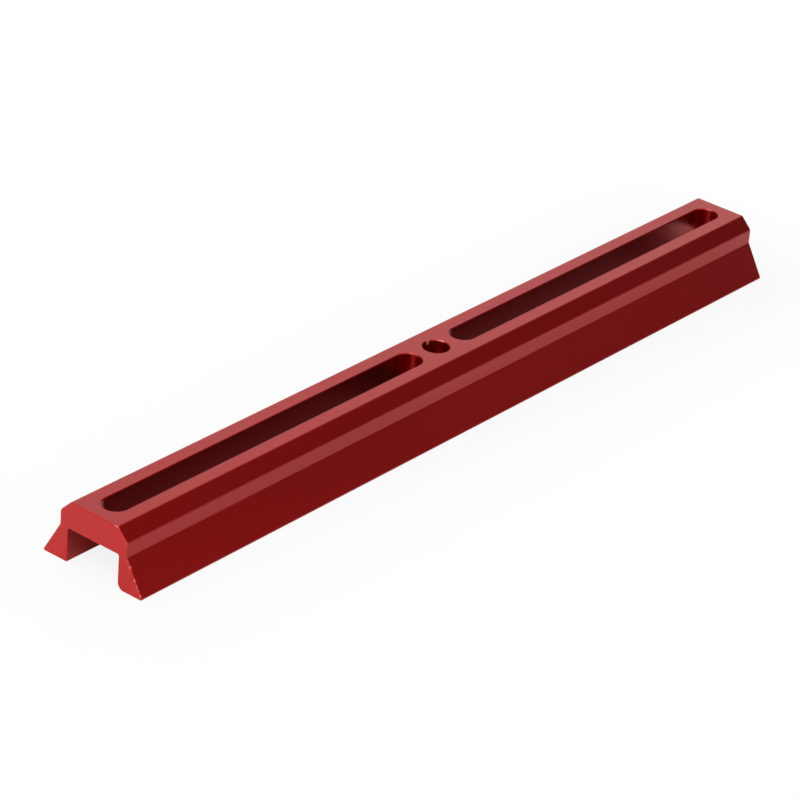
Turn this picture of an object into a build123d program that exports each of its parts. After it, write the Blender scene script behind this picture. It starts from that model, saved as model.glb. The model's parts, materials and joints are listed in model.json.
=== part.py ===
from build123d import *
import math
import os

# A dovetail mounting bar, extruded and then milled from one length of aluminium.
# X runs along the bar, Y across it and Z up from the plane under its two feet.
# The origin is at the middle of the bar, on that plane. Lengths are in
# millimetres and angles in degrees.

# The whole bar
bar_length = 246.0
bar_height = 16.3

# The dovetail: what a clamp's two jaws close on
foot_width = 32.0  # across the lower edges of the feet, before they are rounded
flank_angle = 60.0  # between a sloping flank and the plane under the feet
flank_height = 9.3

# The shoulders: each runs at 45 degrees from the waist up to the top face
shoulder_drop = 3.15

# The channel along the underside, which clears the heads of the screws
channel_width = 16.2
web_thickness = 7.2  # from the channel's ceiling up to the top face

# The two long slots and the hole midway between them, all cut with one end mill
slot_width = 7.1
end_wall = 3.8  # left between a slot and the end of the bar
bridge_length = 14.3  # left between the two slots, with the hole at its middle

# Rounds: the extruded edges have theirs from the die, the machined ones from deburring
top_edge_round = 0.8  # where the top face meets the shoulders
shoulder_round = 1.5  # where the shoulders meet the waists
waist_hollow_round = 0.7  # in the hollows where the waists meet the flanks
foot_tip_round = 0.4  # lower edges of the dovetail
foot_inner_round = 0.4  # lower edges of the channel's two walls
channel_corner_round = 0.4  # where the channel's walls meet its ceiling
mouth_round = 0.3  # slots and hole, above and below
end_round = 0.3  # outline of each sawn end

# How far a cutter runs past the face that it leaves
cutter_overrun = 1.0

# Two heights closer than this are the same height
same_place = 0.001


def waist_half_width():
    return foot_width / 2 - flank_height / math.tan(math.radians(flank_angle))


def top_half_width():
    return waist_half_width() - shoulder_drop


def ceiling_height():
    return bar_height - web_thickness


def shoulder_height():
    return bar_height - shoulder_drop


def half_outline():
    """Corners of the right half of the section, from the channel's ceiling round to the top."""
    return [
        (channel_width / 2, ceiling_height()),
        (channel_width / 2, 0),
        (foot_width / 2, 0),
        (waist_half_width(), flank_height),
        (waist_half_width(), shoulder_height()),
        (top_half_width(), bar_height),
    ]


def corners_at(section, half_width, height):
    """The pair of mirrored corners of the section at one half width and height."""
    return [
        corner
        for corner in section.vertices()
        if abs(abs(corner.X) - half_width) < same_place and abs(corner.Y - height) < same_place
    ]


def cross_section():
    """The bar's section, drawn flat: across the bar in X, up in Y."""
    right = half_outline()
    left = [(-across, up) for across, up in reversed(right)]
    section = make_face(Polyline(*right, *left, close=True))
    rounds = [
        (channel_width / 2, ceiling_height(), channel_corner_round),
        (channel_width / 2, 0, foot_inner_round),
        (foot_width / 2, 0, foot_tip_round),
        (waist_half_width(), flank_height, waist_hollow_round),
        (waist_half_width(), shoulder_height(), shoulder_round),
        (top_half_width(), bar_height, top_edge_round),
    ]
    for half_width, height, radius in rounds:
        section = fillet(corners_at(section, half_width, height), radius)
    return section


def extruded_bar():
    """The plain length of bar, sawn square at both ends."""
    return extrude(Plane.YZ * cross_section(), amount=bar_length / 2, both=True)


def slot_length():
    """End to end, what the end walls and the bridge leave to each slot."""
    return (bar_length - 2 * end_wall - bridge_length) / 2


def screw_passages():
    """The end mill's paths through the web: a slot, the hole and a slot."""
    slot_centre = (bridge_length + slot_length()) / 2
    slot = SlotOverall(slot_length(), slot_width)
    plan = Pos(-slot_centre, 0) * slot + Pos(slot_centre, 0) * slot + Circle(slot_width / 2)
    start = Plane.XY.offset(ceiling_height() - cutter_overrun)
    return extrude(start * plan, amount=web_thickness + 2 * cutter_overrun)


def mouth_edges(bar, height):
    """Edges of the slots and the hole in the level face at one height."""
    level_faces = bar.faces().filter_by(Axis.Z)
    pierced = [face for face in level_faces if abs(face.center().Z - height) < same_place]
    return [edge for face in pierced for wire in face.inner_wires() for edge in wire.edges()]


def milled_bar():
    """The bar with its screw passages cut through and every machined edge deburred."""
    bar = extruded_bar() - screw_passages()
    bar = fillet(mouth_edges(bar, bar_height), mouth_round)
    bar = fillet(mouth_edges(bar, ceiling_height()), mouth_round)
    return fillet(bar.faces().filter_by(Axis.X).edges(), end_round)


os.makedirs("parts", exist_ok=True)
export_step(milled_bar(), "parts/dovetail_bar.step")
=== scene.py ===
import json
import math

import bpy
import numpy as np
from mathutils import Matrix, Vector


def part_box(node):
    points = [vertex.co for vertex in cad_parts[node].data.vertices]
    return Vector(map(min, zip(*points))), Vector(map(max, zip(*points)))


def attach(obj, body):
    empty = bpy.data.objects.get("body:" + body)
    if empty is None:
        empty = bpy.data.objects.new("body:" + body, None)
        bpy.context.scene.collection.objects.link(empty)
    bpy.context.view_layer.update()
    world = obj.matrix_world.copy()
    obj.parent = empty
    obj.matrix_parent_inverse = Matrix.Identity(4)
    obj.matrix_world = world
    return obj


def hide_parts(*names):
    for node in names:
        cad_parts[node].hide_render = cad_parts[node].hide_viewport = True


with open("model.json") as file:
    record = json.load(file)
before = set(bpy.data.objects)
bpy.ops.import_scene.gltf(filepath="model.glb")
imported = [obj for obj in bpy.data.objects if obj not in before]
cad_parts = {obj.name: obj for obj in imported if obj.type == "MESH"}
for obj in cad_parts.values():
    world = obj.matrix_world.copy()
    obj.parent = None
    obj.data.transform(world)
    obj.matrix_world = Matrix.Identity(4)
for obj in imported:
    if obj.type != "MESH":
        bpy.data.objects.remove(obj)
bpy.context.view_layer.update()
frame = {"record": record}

mm = 0.001  # the frame is in metres; the bar's own sizes below are in millimetres
barNode = "dovetail_bar"
tiny = 1e-6  # lengths and shares smaller than this count as nothing
mixSockets = (0, 6, 7)  # where a colour mix takes its share and its two colours
mixResult = 2  # where it gives the mixed colour
lengthResult = 1  # where a vector node gives a length


class Wire:
    # one output socket of a node tree; arithmetic on wires adds the Math nodes
    def __init__(self, socket):
        self.socket = socket

    def math(self, operation, *terms):
        bench = Bench(self.socket.id_data)
        return bench.node("ShaderNodeMath", {"operation": operation}, dict(enumerate(terms)))

    def __add__(self, other):
        return self.math("ADD", self, other)

    def __sub__(self, other):
        return self.math("SUBTRACT", self, other)

    def __rsub__(self, other):
        return self.math("SUBTRACT", other, self)

    def __mul__(self, other):
        return self.math("MULTIPLY", self, other)

    def __truediv__(self, other):
        return self.math("DIVIDE", self, other)

    def __pow__(self, other):
        return self.math("POWER", self, other)

    __radd__ = __add__
    __rmul__ = __mul__

    def clamped(self):
        return self.math("MINIMUM", self.math("MAXIMUM", self, 0.0), 1.0)


class Bench:
    # a node tree, and the one way that nodes are put into it
    def __init__(self, tree):
        self.tree = tree

    def node(self, kind, settings=None, inputs=None, out=0):
        made = self.tree.nodes.new(kind)
        for name, value in (settings or {}).items():
            setattr(made, name, value)
        for key, value in (inputs or {}).items():
            if isinstance(value, Wire):
                self.tree.links.new(value.socket, made.inputs[key])
            else:
                made.inputs[key].default_value = value
        return Wire(made.outputs[out]) if len(made.outputs) else made

    def mix(self, share, first, second):
        colours = dict(zip(mixSockets, (share, first, second)))
        return self.node("ShaderNodeMix", {"data_type": "RGBA"}, colours, out=mixResult)

    def vector(self, operation, *terms, out=0):
        terms = dict(enumerate(terms))
        return self.node("ShaderNodeVectorMath", {"operation": operation}, terms, out=out)


def emptyBench(owner):
    owner.use_nodes = True
    owner.node_tree.nodes.clear()
    return Bench(owner.node_tree)


# the bar: a rounded section carried along X, three openings through its web, and two sawn ends

bar = {
    "footWidth": 32.0,
    "flankAngle": 60.0,  # degrees, from the plane under the feet
    "flankHeight": 9.3,
    "shoulderDrop": 3.15,
    "channelWidth": 16.2,
    "webThickness": 7.2,
    "topEdgeRound": 0.8,
    "shoulderRound": 1.5,
    "waistHollow": 0.7,
    "footTipRound": 0.4,
    "footInnerRound": 0.4,
    "channelCornerRound": 0.4,
    "mouthRound": 0.3,
    "endRound": 0.3,
    "nearInnerRound": 1.9,  # the -Y foot's inner edge is rounder at the bar's -X end
    "nearReach": 5.0,  # how far along the bar that runs out
    "leastRound": 0.02,  # what a corner keeps in the rings that lie on the end face
    # the ends were deburred by hand: how far the round's width wanders, as a share, and in how
    # many waves round the outline, with where each wave starts
    "endWander": 0.25,
    "endWaves": ((17, 0.3), (29, 2.1), (46, 4.4)),
    # knocks, rubbed places and painted glints: along, beside, up, reach, depth, and how pale each has
    # gone, where more than 1 makes the wholly pale patch wider. The dents are real; the paleness is
    # partly
    # wear and partly painted highlight: the glints on the mouths' far rims and the bright streak down
    # the round hole's wall are painted highlights
    "knocks": (
        # dents on the near end's edges; their paleness is partly wear and partly painted glints
        (-123.0, -11.95, 7.4, 0.85, 0.16, 1.0),
        (-123.0, -11.15, 8.5, 0.60, 0.05, 0.5),
        (-123.0, -13.35, 4.5, 0.75, 0.10, 0.8),
        (-123.0, -14.1, 3.2, 0.70, 0.06, 0.6),
        (-123.0, -14.6, 2.3, 0.70, 0.06, 0.6),
        (-123.0, -15.3, 1.2, 0.80, 0.12, 0.7),
        (-123.0, -7.1, 16.3, 0.90, 0.10, 0.8),
        (-123.0, -10.63, 13.1, 0.70, 0.08, 0.6),
        # painted highlights on the far rims of the near slot's mouth and the round hole's mouth
        (-7.5, 1.8, 16.21, 0.80, 0.0, 0.35),
        (-7.09, 0.44, 16.21, 0.70, 0.0, 0.3),
        (2.94, 2.14, 16.21, 0.50, 0.0, 0.3),
        (3.32, 1.48, 16.21, 0.60, 0.0, 0.7),
        (3.56, 0.75, 16.21, 0.80, 0.0, 1.1),
        # small dents carrying a painted glint: the bright streak down the round hole's wall
        (0.78, 3.47, 15.8, 0.90, 0.06, 1.9),
        (0.85, 3.45, 15.4, 0.85, 0.06, 1.6),
        # painted highlights on the far rim of the far slot's mouth
        (118.86, 1.71, 16.21, 0.60, 0.0, 0.5),
        (119.16, 0.94, 16.21, 0.70, 0.0, 0.7),
        (119.27, 0.32, 16.21, 0.60, 0.0, 0.5),
    ),
    "knockPoints": 12,  # how many of the nearest points give a knock its direction
    "rimWear": 0.10,  # how pale the ends' rims go on their outer sides: partly rubbing, partly a painted highlight along those edges
    # how finely each stretch is divided
    "arcSteps": 6,
    "flatSteps": (8, 8, 48, 8, 10),  # shoulder, waist, flank, sole, channel wall
    "mouthSteps": 5,
    "endSteps": 4,
    "endRings": (0.45, 0.62, 0.9),  # insets of the rings on an end face
    "wallSteps": 12,
    "quarterSteps": 16,  # round a quarter of a slot's end
    "cornerStep": 10,  # the step of a quarter that meets the corner of its cell
    "cornerCrowding": 2.2,  # power that draws the stations together near the bar's ends
    "slotSteps": 26,
    "stationDigits": 9,  # decimals that tell one station along the bar from the next
    "weldGrid": 1e5,  # points that agree to this many parts of a millimetre become one
}


def frameSizes():
    # length and height come from the frame's box, the openings from the record's mounts
    low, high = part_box(barNode)
    mounts = {mount["name"]: mount["dims"] for mount in frame["record"]["mounts"]}
    slots, radius = mounts["screw_slots"], mounts["middle_hole"]["r_mm"]
    inner = (slots["spacing_x_mm"] - slots["slot_length_mm"]) / 2 + slots["hole_r_mm"]
    outer = (slots["spacing_x_mm"] + slots["slot_length_mm"]) / 2 - slots["hole_r_mm"]
    return {
        "halfLength": (high.x - low.x) / 2 / mm,
        "height": high.z / mm,
        "radius": radius,
        "innerSpine": inner,  # where the slots' rounded ends are centred
        "outerSpine": outer,
        "cellBorder": (radius + inner - slots["hole_r_mm"]) / 2,  # midway from hole to slot
    }


def roundedChain(corners, radii, flatSteps, inset):
    # Moves a chain of lines inset into the metal: each corner goes by
    # inset * (sum of its two normals) / (1 + their product), a convex round loses the inset
    # and a hollow one gains it. Each inner corner becomes an arc tangent to both lines: it
    # starts radius * tan(turn / 2) before the corner, and its normal turns evenly from the
    # first line's to the second's. Gives points and their unit normals, to the left of the way.
    corners = np.array(corners, float)
    ways = np.diff(corners, axis=0)
    ways /= np.linalg.norm(ways, axis=1)[:, None]
    left = np.stack([-ways[:, 1], ways[:, 0]], axis=1)
    before, after = left[[0, *range(len(left))]], left[[*range(len(left)), -1]]
    corners -= inset * (before + after) / (1 + (before * after).sum(1))[:, None]
    into, onward, left = ways[:-1], ways[1:], left[:-1]
    turn = np.arctan2(into[:, 0] * onward[:, 1] - into[:, 1] * onward[:, 0], (into * onward).sum(1))
    radii = np.maximum(np.array(radii) + np.sign(turn) * inset, bar["leastRound"])
    start = corners[1:-1] - into * (radii * np.tan(abs(turn) / 2))[:, None]
    angle = (turn[:, None] * np.linspace(0, 1, bar["arcSteps"] + 1))[..., None]
    normals = left[:, None] * np.cos(angle) - into[:, None] * np.sin(angle)
    points = start[:, None] + (left[:, None] - normals) * (np.sign(turn) * radii)[:, None, None]
    chain, sides = [points[0]], [normals[0]]
    for i, count in enumerate(flatSteps):  # the flat after arc i, then the next arc
        share = np.linspace(0, 1, count + 1)[1:-1, None]
        chain += [points[i, -1] + (points[i + 1, 0] - points[i, -1]) * share, points[i + 1]]
        sides += [np.repeat(normals[i, -1:], count - 1, axis=0), normals[i + 1]]
    return np.concatenate(chain), np.concatenate(sides)


def innerRound(way, hand):
    # The round of a foot's inner edge, way mm inside the bar's -X end. On the -Y foot it falls
    # from nearInnerRound to the usual round by the square of what is left of nearReach.
    left = max(1 - way / bar["nearReach"], 0) if hand < 0 else 0
    return bar["footInnerRound"] + (bar["nearInnerRound"] - bar["footInnerRound"]) * left ** 2


def sideChain(height, inset=0.0, inner=bar["footInnerRound"]):
    # the +Y half of the section, from the top face's edge round to the ceiling's edge, as (y, z)
    foot, channel = bar["footWidth"] / 2, bar["channelWidth"] / 2
    waist = foot - bar["flankHeight"] / math.tan(math.radians(bar["flankAngle"]))
    top, ceiling = waist - bar["shoulderDrop"], height - bar["webThickness"]
    corners = [(0, height), (top, height), (waist, height - bar["shoulderDrop"]),
               (waist, bar["flankHeight"]), (foot, 0), (channel, 0), (channel, ceiling), (0, ceiling)]
    radii = [bar["topEdgeRound"], bar["shoulderRound"], bar["waistHollow"]]
    radii += [bar["footTipRound"], inner, bar["channelCornerRound"]]
    return roundedChain(corners, radii, bar["flatSteps"], inset)


def closedOutline(height, inset, inner):
    # the whole section: the +Y chain, the ceiling, the mirrored chain, whose foot has its own
    # inner round, and the top face
    chain, sides = sideChain(height, inset)
    other, otherSides = sideChain(height, inset, inner)
    count = bar["quarterSteps"] - bar["cornerStep"]
    share = np.linspace(1, -1, 2 * count + 1)[1:-1]
    ceiling = np.stack([chain[-1, 0] * share, 0 * share + chain[-1, 1]], axis=1)
    top = np.stack([-chain[0, 0] * share, 0 * share + chain[0, 1]], axis=1)
    other, otherSides = other[::-1] * (-1, 1), otherSides[::-1] * (-1, 1)
    points = np.concatenate([chain, ceiling, other, top])
    return points, np.concatenate([sides, 0 * ceiling + (0, -1), otherSides, 0 * top + (0, 1)])


def openingLoop(lowSpine, highSpine, lowCell, highCell):
    # Once round a stadium, clockwise from +Y. turn is the angle of the normal (sin, cos) and
    # spine the x that it springs from. Each place has its match on the rectangular cell round the
    # opening, given as x and as a share of the cell's half width: in each quarter it goes out along
    # X by 1 - (1 - step / cornerStep) ** cornerCrowding, and from the corner evenly across.
    half = np.linspace(0, math.pi, 2 * bar["quarterSteps"] + 1)
    straight = np.linspace(0, 1, bar["slotSteps"] + 1)[1:-1]
    if highSpine == lowSpine:  # a round hole: no straight sides, and its halves share their ends
        half, straight = half[:-1], straight[:0]
    flat = 0 * straight + math.pi
    turn = np.concatenate([half, flat, half + math.pi, 2 * flat])
    share = np.concatenate([0 * half + 1, 1 - straight, 0 * half, straight])
    spine = lowSpine + (highSpine - lowSpine) * share
    quarter = 1 - abs(turn % math.pi / (math.pi / 2) - 1)
    step = np.round(bar["quarterSteps"] * quarter)  # counted from the tangent along X
    along = 1 - (1 - np.minimum(step / bar["cornerStep"], 1)) ** bar["cornerCrowding"]
    across = 1 - np.maximum(step - bar["cornerStep"], 0) / (bar["quarterSteps"] - bar["cornerStep"])
    cell = np.where(np.sin(turn) > 0, highCell, lowCell)
    normal = np.stack([np.sin(turn), np.cos(turn)], axis=1)
    return spine, normal, spine + (cell - spine) * along, np.sign(normal[:, 1]) * across


def openingGrid(loop, radius, height, topHalf, ceilingHalf):
    # From the cell's border on the top face over the mouth, down the wall and out over the
    # ceiling: the mouth's arc stands round * (1 - sin) outside the wall and round * (1 - cos)
    # below the face, and its normal turns from the face's to the wall's.
    spine, outward, borderX, borderY = loop
    quarter = np.linspace(0, math.pi / 2, bar["mouthSteps"] + 1)
    ceiling, curl = height - bar["webThickness"], bar["mouthRound"]
    wall = np.linspace(height - curl, ceiling + curl, bar["wallSteps"] + 1)[1:-1]
    outwards, inwards = curl * (1 - np.sin(quarter)), curl * (1 - np.cos(quarter))
    offset = np.concatenate([outwards, 0 * wall, outwards[::-1]])
    level = np.concatenate([height - inwards, wall, ceiling + inwards[::-1]])
    tilt = np.concatenate([np.cos(quarter), 0 * wall, -np.cos(quarter[::-1])])  # the normal's z
    reach = (radius + offset)[:, None]
    flat = np.repeat(level[:, None], len(spine), axis=1)
    rows = np.stack([spine + outward[:, 0] * reach, outward[:, 1] * reach, flat], axis=2)
    inward = -np.sqrt(1 - tilt ** 2)[:, None]
    lean = 0 * flat + tilt[:, None]
    sides = np.stack([outward[:, 0] * inward, outward[:, 1] * inward, lean], axis=2)
    borders = [np.stack([borderX, borderY * half, 0 * borderX + z], axis=1)
               for half, z in ((topHalf, height), (ceilingHalf, ceiling))]
    up = 0 * borders[0] + (0, 0, 1)
    points = np.concatenate([borders[:1], rows, borders[1:]])
    return points, np.concatenate([[up], sides, [-up]])


def skinGrid(height, stations, hand):
    # the side chain at each station along X, with its own inner round; hand is 1 for +Y and -1
    # for its mirror image
    made = [sideChain(height, 0.0, innerRound(x - stations[0], hand)) for x in stations]
    chains, sides = (np.array(each) for each in zip(*made))
    x = np.repeat(stations[:, None], chains.shape[1], axis=1)
    points = np.stack([x, chains[..., 0] * hand, chains[..., 1]], axis=2)
    return points, np.stack([0 * x, sides[..., 0] * hand, sides[..., 1]], axis=2)


def endGrid(height, halfLength, end):
    # Rolls the section over the edge of an end: a quarter of an ellipse that is round long in X
    # and width deep across, so a point goes in by width * (1 - cos) and out by round * sin,
    # with the normal (width * sin, round * cos). Then rings on the flat face.
    inner = innerRound(0, end)  # rounder at the -X end alone, where end is -1
    outline, normals = closedOutline(height, 0.0, inner)
    steps = np.linalg.norm(outline - np.roll(outline, 1, axis=0), axis=1)
    place = 2 * math.pi * np.cumsum(steps) / steps.sum()
    wander = sum(np.sin(count * place + end * start) for count, start in bar["endWaves"])
    width = (bar["endRound"] * (1 + bar["endWander"] * wander / len(bar["endWaves"])))[:, None]
    rows, sides = [], []
    for quarter in np.linspace(0, math.pi / 2, bar["endSteps"] + 1):
        flat = outline - normals * width * (1 - math.cos(quarter))
        x = end * (halfLength - bar["endRound"] * (1 - math.sin(quarter))) + 0 * width
        across = normals * bar["endRound"] * math.cos(quarter)
        side = np.hstack([end * width * math.sin(quarter), across])
        rows.append(np.hstack([x, flat]))
        sides.append(side / np.linalg.norm(side, axis=1)[:, None])
    for inset in bar["endRings"]:
        flat, _ = closedOutline(height, inset, inner)
        rows.append(np.hstack([0 * width + end * halfLength, flat]))
        sides.append(np.hstack([0 * width + end, 0 * flat]))
    return np.array(rows), np.array(sides)


def gridFaces(points, normals, closed):
    # quads of a grid, turned so that their own normals agree with the surface's
    rows, columns = points.shape[:2]
    index = np.arange(rows * columns).reshape(rows, columns)
    onward = np.roll(index, -1, axis=1)
    quads = np.stack([index[:-1], onward[:-1], onward[1:], index[1:]], axis=2)
    quads = (quads if closed else quads[:, :-1]).reshape(-1, 4)
    flat, side = points.reshape(-1, 3), normals.reshape(-1, 3)
    own = np.cross(flat[quads[:, 2]] - flat[quads[:, 0]], flat[quads[:, 3]] - flat[quads[:, 1]])
    wrong = (own * side[quads].sum(1)).sum(1) < 0
    quads[wrong] = quads[wrong, ::-1]
    return quads


def finishIndex(name):
    return list(finishes).index(name)


def gridFinish(name, normals, count):
    # the finish of each of a grid's faces, row by row
    worn = np.full(count, finishIndex(name))
    perRow = normals.shape[1]
    if name == "milled":  # a slot's straight sides have their own, and the mouths are skin
        perMouth = perRow * (bar["mouthSteps"] + 1)
        straight = abs(normals[len(normals) // 2, :, 0]) < tiny
        sides = np.tile(straight & np.roll(straight, -1), count // perRow)
        worn[sides] = finishIndex("longCut")
        worn[:perMouth] = finishIndex("skin")
        worn[-perMouth:] = finishIndex("skin")
    if name == "sawn":  # the outer half of an end's round takes the skin's finish and darker tone, a painted shade that tones down the highlight along the edge
        worn[:perRow * bar["endSteps"] // 2] = finishIndex("skin")
    return worn


def welded(points, normals, quads, caps):
    # points that agree become one, and the faces are numbered anew
    places = (points * bar["weldGrid"]).round().astype(np.int64)
    _, first, merged = np.unique(places, axis=0, return_index=True, return_inverse=True)
    merged = merged.reshape(-1)
    return points[first], normals[first], merged[quads], [merged[cap] for cap in caps]


def barSurface():
    # all the grids of the skin, welded where they meet, with the finish that each face has
    sizes = frameSizes()
    height, halfLength, border = sizes["height"], sizes["halfLength"], sizes["cellBorder"]
    chain, _ = sideChain(height)
    endAt = halfLength - bar["endRound"]
    slot = openingLoop(sizes["innerSpine"], sizes["outerSpine"], border, endAt)
    hole = openingLoop(0, 0, -border, border)
    mirrored = (-slot[0], slot[1] * (-1, 1), -slot[2], slot[3])
    onSide = [loop[2][abs(loop[3]) == 1] for loop in (slot, hole, mirrored)]
    stations = np.unique(np.concatenate(onSide).round(bar["stationDigits"]))
    grids = [(*openingGrid(loop, sizes["radius"], height, chain[0, 0], chain[-1, 0]), "milled")
             for loop in (slot, hole, mirrored)]
    grids += [(*skinGrid(height, stations, hand), "skin") for hand in (1, -1)]
    grids += [(*endGrid(height, halfLength, end), "sawn") for end in (1, -1)]
    points, normals, quads, finish, total = [], [], [], [], 0
    for gridPoints, gridNormals, name in grids:
        faces = gridFaces(gridPoints, gridNormals, name != "skin")
        points.append(gridPoints.reshape(-1, 3))
        normals.append(gridNormals.reshape(-1, 3))
        quads.append(faces + total)
        finish.append(gridFinish(name, gridNormals, len(faces)))
        total += len(points[-1])
    ring = grids[-1][0].shape[1]  # the last ring of each end bounds a flat cap
    perEnd = len(points[-1])
    caps = [np.arange(total - perEnd - ring, total - perEnd)[::-1], np.arange(total - ring, total)]
    joined = [np.concatenate(each) for each in (points, normals, quads, finish)]
    return *welded(*joined[:3], caps), joined[3]


def facetNormals(points, quads):
    # each vertex gets the sum of its faces' normals, which are as long as the faces are large
    corners = points[quads]
    own = np.cross(corners[:, 2] - corners[:, 0], corners[:, 3] - corners[:, 1])
    summed = np.zeros_like(points)
    np.add.at(summed, quads, own[:, None])
    return summed / np.linalg.norm(summed, axis=1)[:, None]


def wearAndGlintPlaces(points, normals, halfLength):
    # Where the skin can go pale, with wear and painted highlights: 1 in the middle of a deburred
    # edge's round and 0 where it runs out into the flats, being twice the product of the normal's
    # lean and its rest, the lean along X at the ends and along Z elsewhere; and 1 on the walls of the
    # openings, for the painted streak in the round hole. Also tells which points are at an end.
    atEnd = abs(points[:, 0]) > halfLength - bar["endRound"] - tiny
    lean = np.where(atEnd, normals[:, 0], normals[:, 2])
    inside = ~atEnd & (abs(points[:, 1]) < bar["channelWidth"] / 2 - bar["channelCornerRound"])
    onWall = inside & (abs(lean) < tiny)
    return np.where(onWall, 1, 2 * abs(lean) * np.sqrt(np.maximum(1 - lean ** 2, 0))), atEnd


def knockedAndGlinting(points, normals, quads, halfLength):
    # Each knock presses the skin in by depth * (1 - (distance / reach) ** 2) ** 3 out to its
    # reach, along the mean normal there. The normals turn by as much as the facets' own do. Also
    # gives how pale each point has gone, partly wear and partly painted highlight: by the knocks'
    # shares, and round the ends' outer sides by rimWear times the square of how far the
    # section's normal points sideways.
    rubbedAndGlinting, atEnd = wearAndGlintPlaces(points, normals, halfLength)
    sideways = np.maximum(normals[:, 1] * np.sign(points[:, 1]), 0) ** 2
    across = np.maximum(1 - normals[:, 0] ** 2, tiny)
    moved, paleWearAndGlint = points.copy(), bar["rimWear"] * atEnd * sideways / across
    for along, beside, up, reach, depth, wearAndGlintShare in bar["knocks"]:
        away = np.linalg.norm(points - (along, beside, up), axis=1)
        way = normals[np.argsort(away)[:bar["knockPoints"]]].sum(0)
        share = np.maximum(1 - (away / reach) ** 2, 0) ** 3
        moved -= depth * share[:, None] * way / np.linalg.norm(way)
        paleWearAndGlint = np.maximum(paleWearAndGlint, wearAndGlintShare * share)
    turned = normals + facetNormals(moved, quads) - facetNormals(points, quads)
    return moved, turned / np.linalg.norm(turned, axis=1)[:, None], np.minimum(paleWearAndGlint * rubbedAndGlinting, 1)


def makeMesh(name, points, quads, caps, normals, finish, paleWearAndGlint):
    # the welded skin in metres, with its caps sawn, its own normals and its wear and painted glints
    # at each point
    mesh = bpy.data.meshes.new(name)
    mesh.from_pydata((points * mm).tolist(), [], quads.tolist() + [cap.tolist() for cap in caps])
    finish = np.append(finish, [finishIndex("sawn")] * len(caps))
    mesh.polygons.foreach_set("material_index", finish)
    mesh.polygons.foreach_set("use_smooth", np.ones(len(mesh.polygons), bool))
    wear = mesh.attributes.new("wear", "FLOAT", "POINT")
    wear.data.foreach_set("value", paleWearAndGlint.astype(np.float32))
    mesh.update()
    mesh.normals_split_custom_set_from_vertices(normals.tolist())
    piece = bpy.data.objects.new(name, mesh)
    bpy.context.scene.collection.objects.link(piece)
    return piece


# the anodised finish: dyed satin metal under a clear sealed film

dye = {
    "colour": (0.426, 0.0071, 0.0063),
    "drift": 0.02,  # how far the dye's strength wanders over the bar, as a share
    "driftSize": 22.0,  # mm
    "driftShare": 0.5,  # how much of a finish's vary the same wandering adds to its roughness
    "grainSize": 0.14,  # mm
    "details": {"drift": 2.0, "marks": 3.0, "grain": 1.0},  # how fine each pattern goes
    "filmWeight": 0.55,  # how much of the surface the clear film makes glossy
    "filmRoughness": 0.23,
    "filmIor": 1.5,
    "worn": (0.95, 0.24, 0.21, 1),  # where knocks and rubbing have thinned the dye, and where the painted highlights on rims and mouths show
    "bare": (0.90, 0.42, 0.38, 1),  # the palest, matt: where a knock went right through the dye to torn metal, and the painted glints in and on the round hole
    "barePower": 4,  # of the paleness that shows the palest colour
}

# Each way of working the metal takes the dye a little differently and leaves its own marks, and
# the shades are partly painted light and shade too: paler sawn ends and round ends of the
# openings, darker straight sides of the slots. shade multiplies the dye, vary is how far the marks
# spread the roughness, marks is their spacing along X, Y and Z, depth and grain are heights, all
# in millimetres, and film multiplies filmWeight.
finishes = {
    "skin": {
        "shade": 1.0,
        "roughness": 0.51,
        "vary": 0.05,
        "marks": (60.0, 0.35, 0.35),
        "depth": 0.0006,
        "grain": 0.0010,
        "film": 1.0,
    },
    # the openings' round ends and the hole's wall, their paler shade partly painted light
    "milled": {
        "shade": 1.14,
        "roughness": 0.36,
        "vary": 0.06,
        "marks": (0.22, 0.22, 9.0),
        "depth": 0.0008,
        "grain": 0.0006,
        "film": 0.42,
    },
    "longCut": {  # the slots' straight sides, their darker shade partly painted shade
        "shade": 0.83,
        "roughness": 0.31,
        "vary": 0.04,
        "marks": (0.22, 0.22, 9.0),
        "depth": 0.0005,
        "grain": 0.0004,
        "film": 0.8,
    },
    # the sawn ends, their paler shade partly painted light
    "sawn": {
        "shade": 1.31,
        "roughness": 0.42,
        "vary": 0.05,
        "marks": (0.3, 14.0, 0.30),
        "depth": 0.0007,
        "grain": 0.0008,
        "film": 1.0,
    },
}


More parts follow.
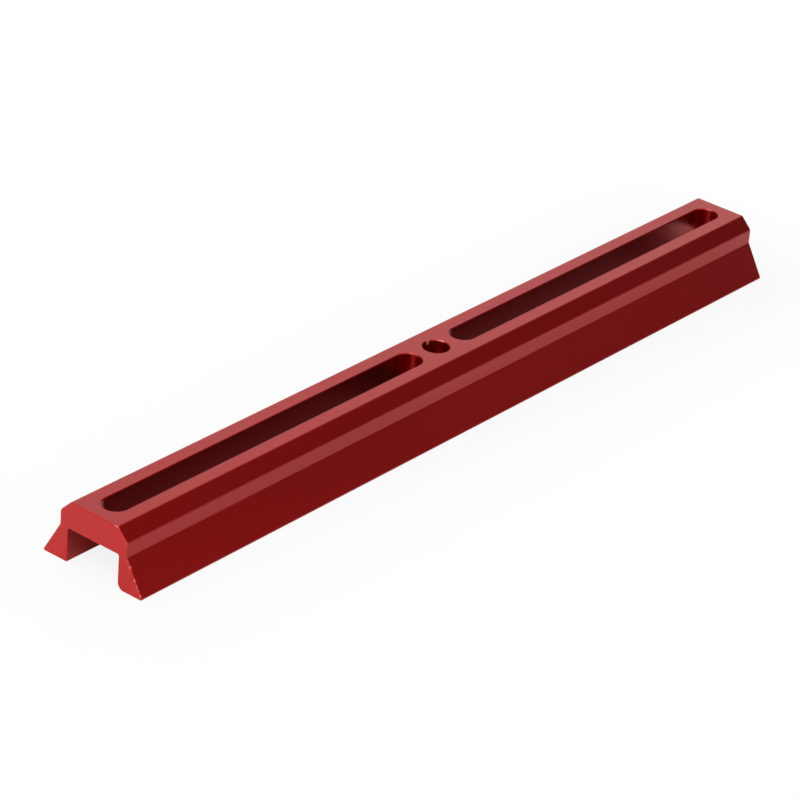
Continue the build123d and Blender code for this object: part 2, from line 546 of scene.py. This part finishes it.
def anodised(name, look):
    # dyed metal whose colour and roughness wander a little; wear and painted highlights turn it
    # paler, and their power barePower turns it to the palest colour with no gloss of its
    # own, for torn bare metal and for the painted glints
    material = bpy.data.materials.new(name)
    bench = emptyBench(material)
    place = bench.node("ShaderNodeTexCoord", out="Object")

    def noise(kind, size):  # a pattern from 0 to 1, its features size millimetres across
        spot = bench.vector("MULTIPLY", place, tuple(1 / (mm * each) for each in size))
        inputs = {"Vector": spot, "Scale": 1.0, "Detail": dye["details"][kind]}
        return bench.node("ShaderNodeTexNoise", {}, inputs, out=0)

    drift = noise("drift", (dye["driftSize"],) * 3)
    marks = noise("marks", look["marks"])
    grain = noise("grain", (dye["grainSize"],) * 3)
    # the mesh's wear and painted glints, from 0 to 1
    worn = bench.node("ShaderNodeAttribute", {"attribute_name": "wear"}, out="Fac")
    bare = worn ** dye["barePower"]
    shades = [look["shade"] * share for share in (1 - dye["drift"], 1 + dye["drift"])]
    deeper, paler = [(*[each * shade for each in dye["colour"]], 1) for shade in shades]
    rubbedAndGlinting = bench.mix(worn, bench.mix(drift, deeper, paler), dye["worn"])
    middle = 0.5  # of a pattern from 0 to 1
    slow = dye["driftShare"] * look["vary"] * (drift - middle)
    height = marks * look["depth"] + grain * look["grain"]
    bump = bench.node("ShaderNodeBump", {}, {"Strength": 1.0, "Distance": mm, "Height": height})
    shader = bench.node("ShaderNodeBsdfPrincipled", {}, {
        "Base Color": bench.mix(bare, rubbedAndGlinting, dye["bare"]),
        "Metallic": 1 - bare,
        "Roughness": look["roughness"] + look["vary"] * (marks - middle) + slow,
        "Normal": bump,
        "Coat Weight": dye["filmWeight"] * look["film"],
        "Coat Roughness": dye["filmRoughness"],
        "Coat IOR": dye["filmIor"],
    })
    bench.node("ShaderNodeOutputMaterial", {}, {"Surface": shader})
    return material


points, normals, quads, caps, finish = barSurface()
print("bar surface:", len(points), "points,", len(quads), "quads and", len(caps), "caps")
points, normals, paleWearAndGlint = knockedAndGlinting(points, normals, quads, frameSizes()["halfLength"])
barPiece = makeMesh("dovetail_bar_skin", points, quads, caps, normals, finish, paleWearAndGlint)
for finishName, look in finishes.items():
    barPiece.data.materials.append(anodised(finishName + "Anodised", look))
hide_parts(barNode)
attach(barPiece, "root")
print("bar:", len(barPiece.data.polygons), "faces in", len(finishes), "finishes")


# the studio: a white floor with painted light under the slots, a white world, a softbox overhead,
# and a black card standing off to the right, which the sloping faces reflect

studio = {
    "white": {"Color": (1, 1, 1, 1), "Strength": 1.0},
    "floorSize": 6.0,  # metres, each way
    "floorColour": (0.9, 0.9, 0.9, 1),
    "shownWhite": 0.85,  # share of plain white that the camera sees in the floor at the feet
    "floorLift": 0.75,  # share of plain white in the floor's mirror image, far from the feet
    "liftReach": 42.0,  # mm outside the feet, where the camera's share is 1 and floorLift is whole
    "stripes": ((-100.0, -14.0), (18.0, 104.0)),  # mm along X: painted light on the floor under the slots, seen only in the metal's reflections
    "stripeWidth": 7.0,  # mm
    "stripeLift": 1.25,  # their share along their middle lines, where 1 is already all white
    "worldLevel": 0.71,  # the light that plain surfaces get
    "cardDistance": 1.5,  # metres
    "cardFrom": -68.0,  # degrees round the bar, from +X
    "cardTo": 1.0,
    "cardColumns": 33,
    "cardLow": 0.02,  # metres
    "cardHigh": 2.5,
    "cardColour": (0.086, 0.086, 0.086, 1),
    "keyWay": (-0.75, -0.19, 0.90),  # from the bar to the softbox
    "keyDistance": 0.88,  # metres
    "keySize": 0.5,
    "keyPower": 3.25,  # watts
}


def rays(bench, *kinds):
    # 1 on rays of these kinds, such as Camera or Glossy
    tree = bench.node("ShaderNodeLightPath").socket.node
    return sum(Wire(tree.outputs["Is " + kind + " Ray"]) for kind in kinds).clamped()


def stageMesh(name, points, faces, colour):
    mesh = bpy.data.meshes.new(name)
    mesh.from_pydata(np.asarray(points, float).tolist(), [], np.asarray(faces).tolist())
    piece = bpy.data.objects.new(name, mesh)
    bpy.context.scene.collection.objects.link(piece)
    material = bpy.data.materials.new(name + "Paint")
    bench = emptyBench(material)
    plain = bench.node("ShaderNodeBsdfDiffuse", {}, {"Color": colour})
    mesh.materials.append(material)
    return piece, bench, plain


def whiteFloor():
    # The camera sees the floor as a mix of plain white and of the floor with the bar's shadow on
    # it: shownWhite of white at the feet, all white from liftReach on. In the metal's mirror image
    # the share of white grows from nothing at the feet to floorLift, so the channel stays dark, and
    # each stripe of painted light under the slots adds stripeLift * (1 - distance / half its
    # width), measured from its middle line.
    corners = np.array([(-1, -1, 0), (1, -1, 0), (1, 1, 0), (-1, 1, 0)]) * studio["floorSize"] / 2
    _, bench, plain = stageMesh("floor", corners, [(0, 1, 2, 3)], studio["floorColour"])
    place = bench.node("ShaderNodeTexCoord", out="Object")

    def beyond(spot, halfSizes):  # how far a place lies outside a box round the origin
        outside = bench.vector("SUBTRACT", bench.vector("ABSOLUTE", spot), halfSizes)
        outside = bench.vector("MAXIMUM", outside, (0, 0, 0))
        return bench.vector("LENGTH", outside, out=lengthResult)

    feet = (frameSizes()["halfLength"] * mm, bar["footWidth"] / 2 * mm, 0)
    away = (beyond(place, feet) / (studio["liftReach"] * mm)).clamped()
    paintedLight = 0
    for start, end in studio["stripes"]:
        fromMiddle = bench.vector("SUBTRACT", place, ((start + end) / 2 * mm, 0, 0))
        astray = beyond(fromMiddle, ((end - start) / 2 * mm, 0, 0))
        paintedLight = paintedLight + (1 - astray / (studio["stripeWidth"] / 2 * mm)).clamped()
    seen = away * (1 - studio["shownWhite"]) + studio["shownWhite"]
    mirrored = away * studio["floorLift"] + paintedLight * studio["stripeLift"]
    share = rays(bench, "Camera") * seen + rays(bench, "Glossy", "Transmission") * mirrored
    white = bench.node("ShaderNodeEmission", {}, studio["white"])
    shown = bench.node("ShaderNodeMixShader", {}, {0: share, 1: plain, 2: white})
    bench.node("ShaderNodeOutputMaterial", {}, {"Surface": shown})


def blackCard():
    # an upright sheet bent round the bar: (distance * cos, distance * sin, height) over the turn
    turn = np.radians(np.linspace(studio["cardFrom"], studio["cardTo"], studio["cardColumns"]))
    rim = np.stack([np.cos(turn), np.sin(turn), 0 * turn], axis=1) * studio["cardDistance"]
    points = np.concatenate([rim + (0, 0, studio["cardLow"]), rim + (0, 0, studio["cardHigh"])])
    low = np.arange(len(turn) - 1)
    faces = np.stack([low, low + 1, low + 1 + len(turn), low + len(turn)], axis=1)
    card, bench, plain = stageMesh("card", points, faces, studio["cardColour"])
    bench.node("ShaderNodeOutputMaterial", {}, {"Surface": plain})
    card.visible_camera = False


def studioWorld():
    # plain white to the camera and in the metal, and worldLevel of it as light
    world = bpy.data.worlds.new("studio")
    bpy.context.scene.world = world
    bench = emptyBench(world)
    level = {**studio["white"], "Strength": studio["worldLevel"]}
    light = bench.node("ShaderNodeBackground", {}, level)
    white = bench.node("ShaderNodeBackground", {}, studio["white"])
    seen = rays(bench, "Camera", "Glossy", "Transmission")
    shown = bench.node("ShaderNodeMixShader", {}, {0: seen, 1: light, 2: white})
    bench.node("ShaderNodeOutputWorld", {}, {"Surface": shown})


def softbox():
    # a square lamp that stands off along keyWay and faces the bar
    lamp = bpy.data.lights.new("softbox", "AREA")
    lamp.shape, lamp.size = "SQUARE", studio["keySize"]
    lamp.energy = studio["keyPower"]
    key = bpy.data.objects.new("softbox", lamp)
    bpy.context.scene.collection.objects.link(key)
    way = Vector(studio["keyWay"]).normalized()
    key.location = way * studio["keyDistance"]
    key.rotation_euler = way.to_track_quat("Z", "Y").to_euler()


whiteFloor()
blackCard()
studioWorld()
softbox()
print("studio: floor, card, world and softbox")


# the camera, at the photograph's angle: the bar fills an 800 by 800 frame

view = {
    "place": (-654.67, -500.07, 442.99),  # mm
    "lens": 165.813,
    "azimuth": -52.071,  # degrees; 0 looks along +Y
    "elevation": 28.26,
    "roll": 4.636,
    "clip": (0.01, 100.0),  # metres
}


def setCamera():
    # back is the way from the bar to the camera, right is level, and roll turns them about back
    camera = bpy.data.cameras.new("camera")
    camera.lens = view["lens"]
    camera.clip_start, camera.clip_end = view["clip"]
    holder = bpy.data.objects.new("camera", camera)
    bpy.context.scene.collection.objects.link(holder)
    azimuth, elevation = math.radians(view["azimuth"]), math.radians(view["elevation"])
    right = Vector((math.cos(azimuth), math.sin(azimuth), 0))
    outwards = Vector((math.sin(azimuth), -math.cos(azimuth), 0))
    back = outwards * math.cos(elevation) + Vector((0, 0, math.sin(elevation)))
    level = Matrix((right, back.cross(right), back)).transposed()
    turned = level @ Matrix.Rotation(math.radians(view["roll"]), 3, "Z")
    holder.matrix_world = Matrix.Translation(Vector(view["place"]) * mm) @ turned.to_4x4()
    bpy.context.scene.camera = holder


setCamera()
bpy.context.scene.view_settings.view_transform = "Standard"
print("camera: set")
